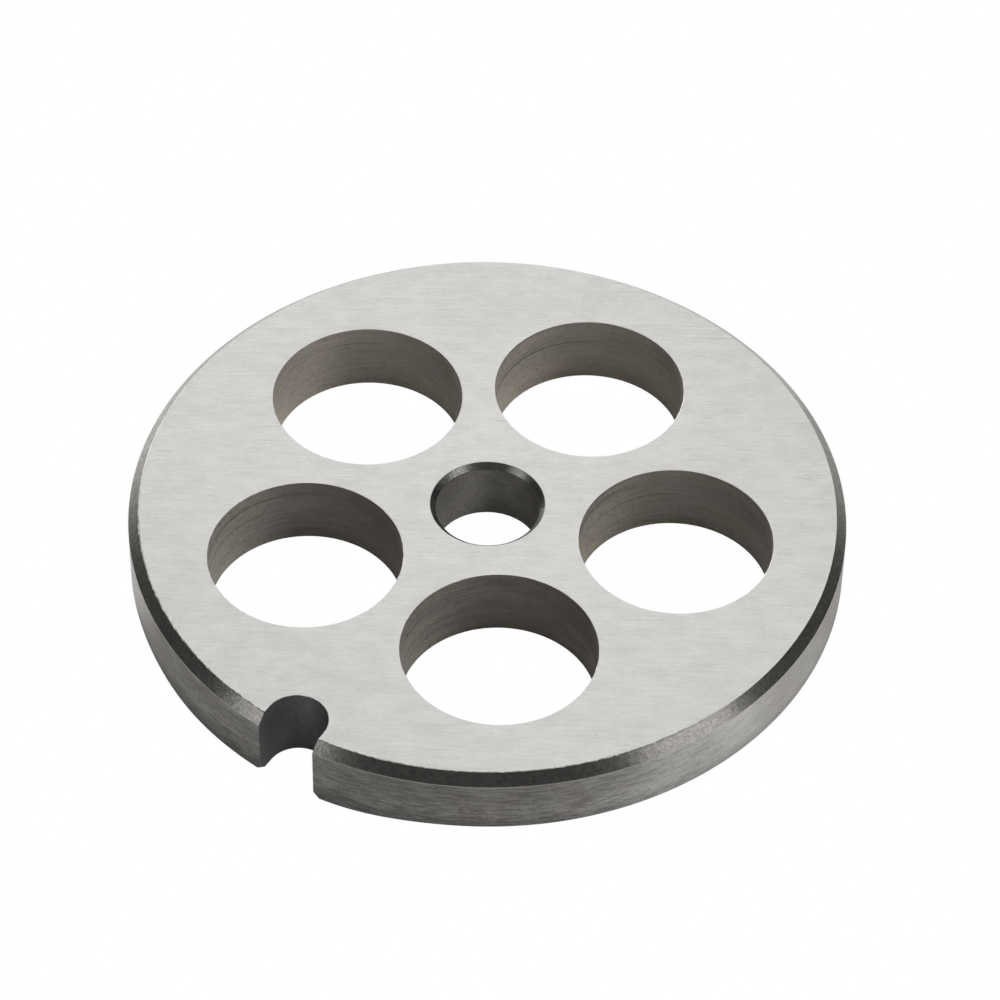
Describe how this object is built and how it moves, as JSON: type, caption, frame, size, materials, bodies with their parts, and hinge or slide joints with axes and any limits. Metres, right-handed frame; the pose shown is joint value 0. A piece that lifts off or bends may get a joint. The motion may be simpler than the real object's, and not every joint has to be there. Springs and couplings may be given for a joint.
{
  "type": "meat grinder plate",
  "caption": "Round ground-steel mincer plate with large straight feed holes, a countersunk centre bore and a key slot in its chamfered rim.",
  "frame": {"origin": "centre of the underside, on the axis of the centre bore", "axes": "+Z along the plate's axis, from the outlet face to the knife face; -Y through the middle of the key slot"},
  "size_m": [0.0594, 0.0593, 0.0065],
  "materials": {
    "ground_steel": "surface-ground faces with fine straight lines, turned rim and chamfers, darker drilled hole walls"
  },
  "bodies": {
    "root": {"grinder_plate": "ground_steel"}
  },
  "joints": []
}
